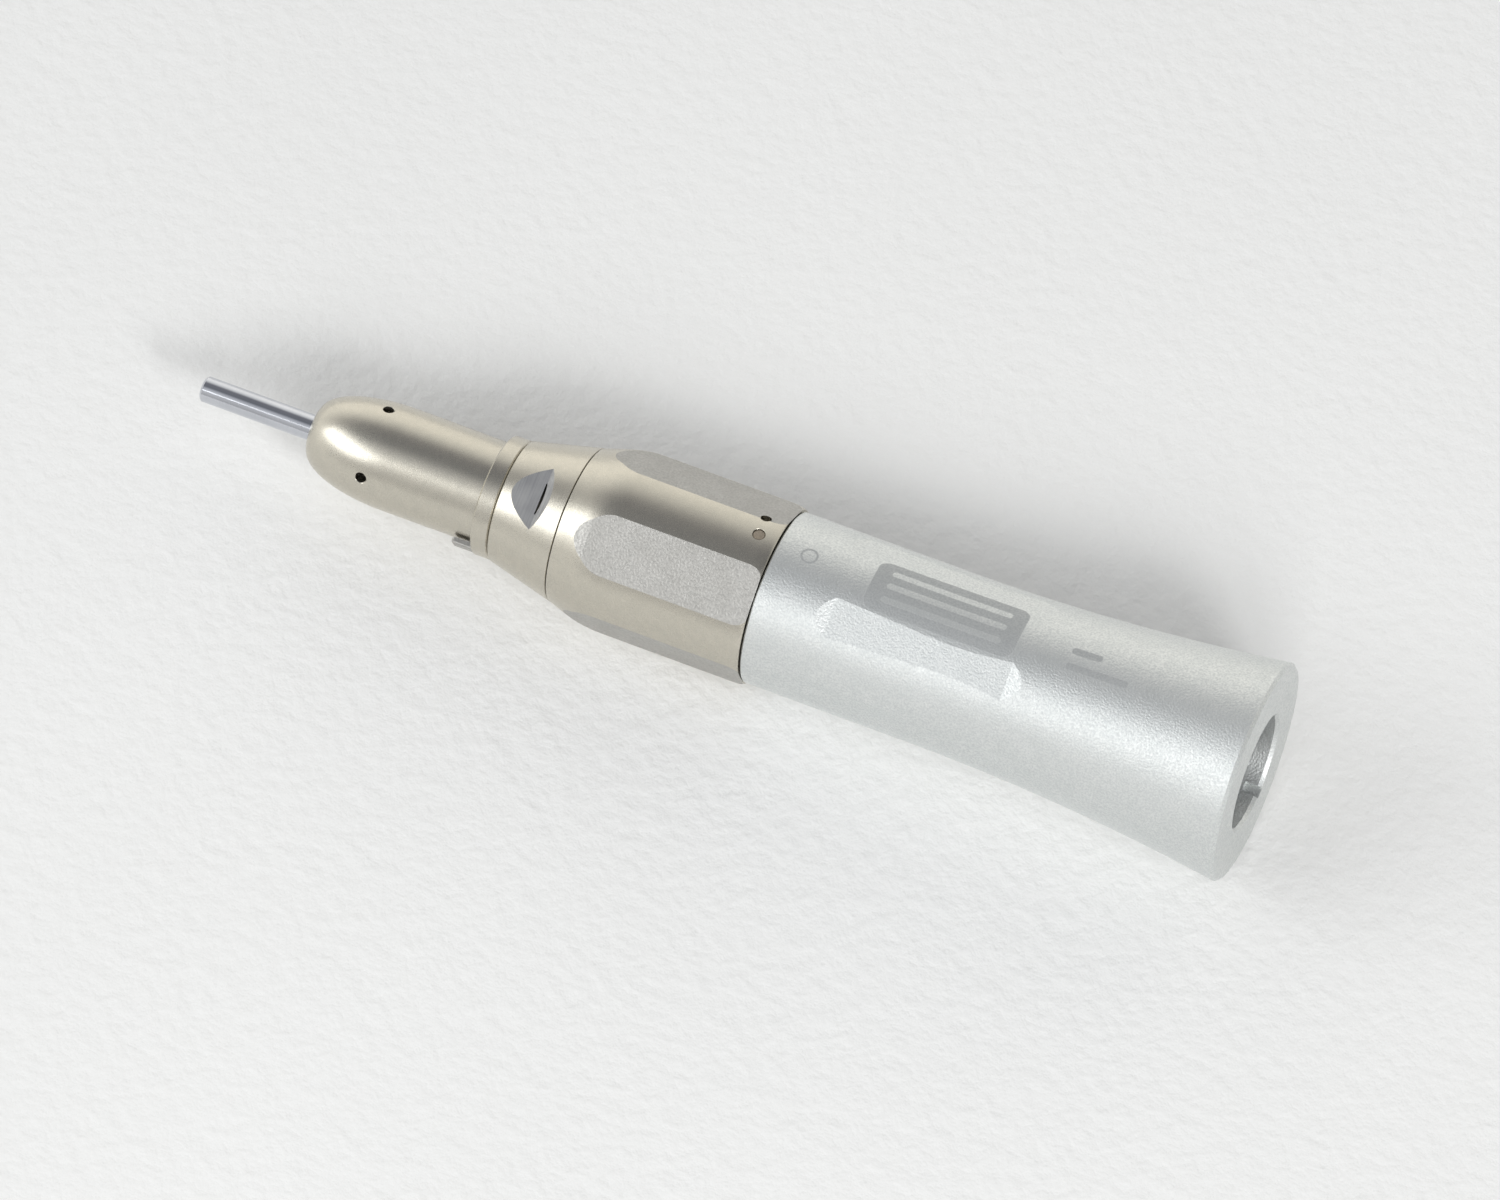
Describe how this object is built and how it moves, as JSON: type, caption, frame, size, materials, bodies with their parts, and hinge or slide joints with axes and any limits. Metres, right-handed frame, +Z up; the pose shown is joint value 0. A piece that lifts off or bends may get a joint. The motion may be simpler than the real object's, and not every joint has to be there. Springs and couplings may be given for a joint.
{
  "type": "straight dental handpiece",
  "caption": "Straight low-speed dental handpiece: flared rear sheath with a motor socket, faceted twist ring that opens a collet, domed nose cone and a slim bar in the chuck.",
  "frame": {"origin": "centre of the bounding box at its lowest level, straight below the middle of the long axis, which runs 10 mm up", "axes": "+X along the long axis towards the motor socket, -X towards the nose, +Z up, with one flat of the twist ring facing straight down"},
  "size_m": [0.0998, 0.02, 0.02],
  "materials": {
    "satin_nickel": "bead-blasted satin nickel plate",
    "satin_aluminium": "bead-blasted clear anodised",
    "ground_steel": "turned and ground",
    "polished_steel": "polished",
    "bearing_steel": "ground and polished",
    "cage_brass": "satin",
    "spring_steel": "drawn wire and hardened steel",
    "seal_rubber": "moulded",
    "dot_enamel": "dull enamel fill"
  },
  "bodies": {
    "housing": {"rear_sheath": "satin_aluminium", "coupling_liner": "ground_steel", "inner_barrel": "ground_steel", "guide_key": "ground_steel", "front_collar": "satin_nickel", "attachment_flange": "satin_nickel", "nose_cone": "satin_nickel", "nose_seal": "seal_rubber", "bearing_spacer": "ground_steel", "wave_washer": "spring_steel", "nose_bearing_nut": "ground_steel", "rear_bearing_nut": "ground_steel", "ring_o_ring": "seal_rubber", "nose_bearing_outer_race": "bearing_steel", "middle_bearing_outer_race": "bearing_steel", "rear_bearing_outer_race": "bearing_steel"},
    "ring": {"twist_ring": "satin_nickel", "ring_dot": "dot_enamel", "ring_carrier": "ground_steel", "cam_pin_1": "ground_steel", "cam_pin_2": "ground_steel"},
    "sleeve": {"release_sleeve": "ground_steel"},
    "spindle": {"spindle": "ground_steel", "drive_fork": "ground_steel", "fork_pin": "ground_steel", "nose_bearing_inner_race": "bearing_steel", "middle_bearing_inner_race": "bearing_steel", "rear_bearing_inner_race": "bearing_steel"},
    "nose_cage": {"nose_bearing_ball_cage": "cage_brass"},
    "middle_cage": {"middle_bearing_ball_cage": "cage_brass"},
    "rear_cage": {"rear_bearing_ball_cage": "cage_brass"},
    "chuck": {"collet": "spring_steel", "draw_tube": "ground_steel", "thrust_collar": "ground_steel", "cross_pin": "ground_steel", "chuck_spring": "spring_steel"},
    "bar": {"test_bar": "polished_steel"}
  },
  "joints": [
    {"name": "ring_turn", "type": "hinge", "parent": "housing", "child": "ring", "pos_m": [0, 0, 0.01], "axis": [1, 0, 0], "range_deg": [0, 50]},
    {"name": "sleeve_slide", "type": "slide", "parent": "housing", "child": "sleeve", "axis": [-1, 0, 0], "range_m": [0, 0.0012]},
    {"name": "spindle_spin", "type": "hinge", "parent": "housing", "child": "spindle", "pos_m": [0, 0, 0.01], "axis": [1, 0, 0], "continuous": true},
    {"name": "nose_cage_spin", "type": "hinge", "parent": "housing", "child": "nose_cage", "pos_m": [0, 0, 0.01], "axis": [1, 0, 0], "continuous": true},
    {"name": "middle_cage_spin", "type": "hinge", "parent": "housing", "child": "middle_cage", "pos_m": [0, 0, 0.01], "axis": [1, 0, 0], "continuous": true},
    {"name": "rear_cage_spin", "type": "hinge", "parent": "housing", "child": "rear_cage", "pos_m": [0, 0, 0.01], "axis": [1, 0, 0], "continuous": true},
    {"name": "chuck_slide", "type": "slide", "parent": "spindle", "child": "chuck", "axis": [-1, 0, 0], "range_m": [0, 0.0009], "deforming": ["chuck_spring"]},
    {"name": "bar_pull", "type": "slide", "parent": "spindle", "child": "bar", "axis": [-1, 0, 0], "range_m": [0, 0.034]}
  ],
  "couplings": [
    {"joint": "sleeve_slide", "follows": "ring_turn", "m_per_rad": 0.001375},
    {"joint": "chuck_slide", "follows": "ring_turn", "m_per_rad": 0.001031},
    {"joint": "nose_cage_spin", "follows": "spindle_spin", "ratio": 0.40667},
    {"joint": "middle_cage_spin", "follows": "spindle_spin", "ratio": 0.40667},
    {"joint": "rear_cage_spin", "follows": "spindle_spin", "ratio": 0.42533}
  ]
}
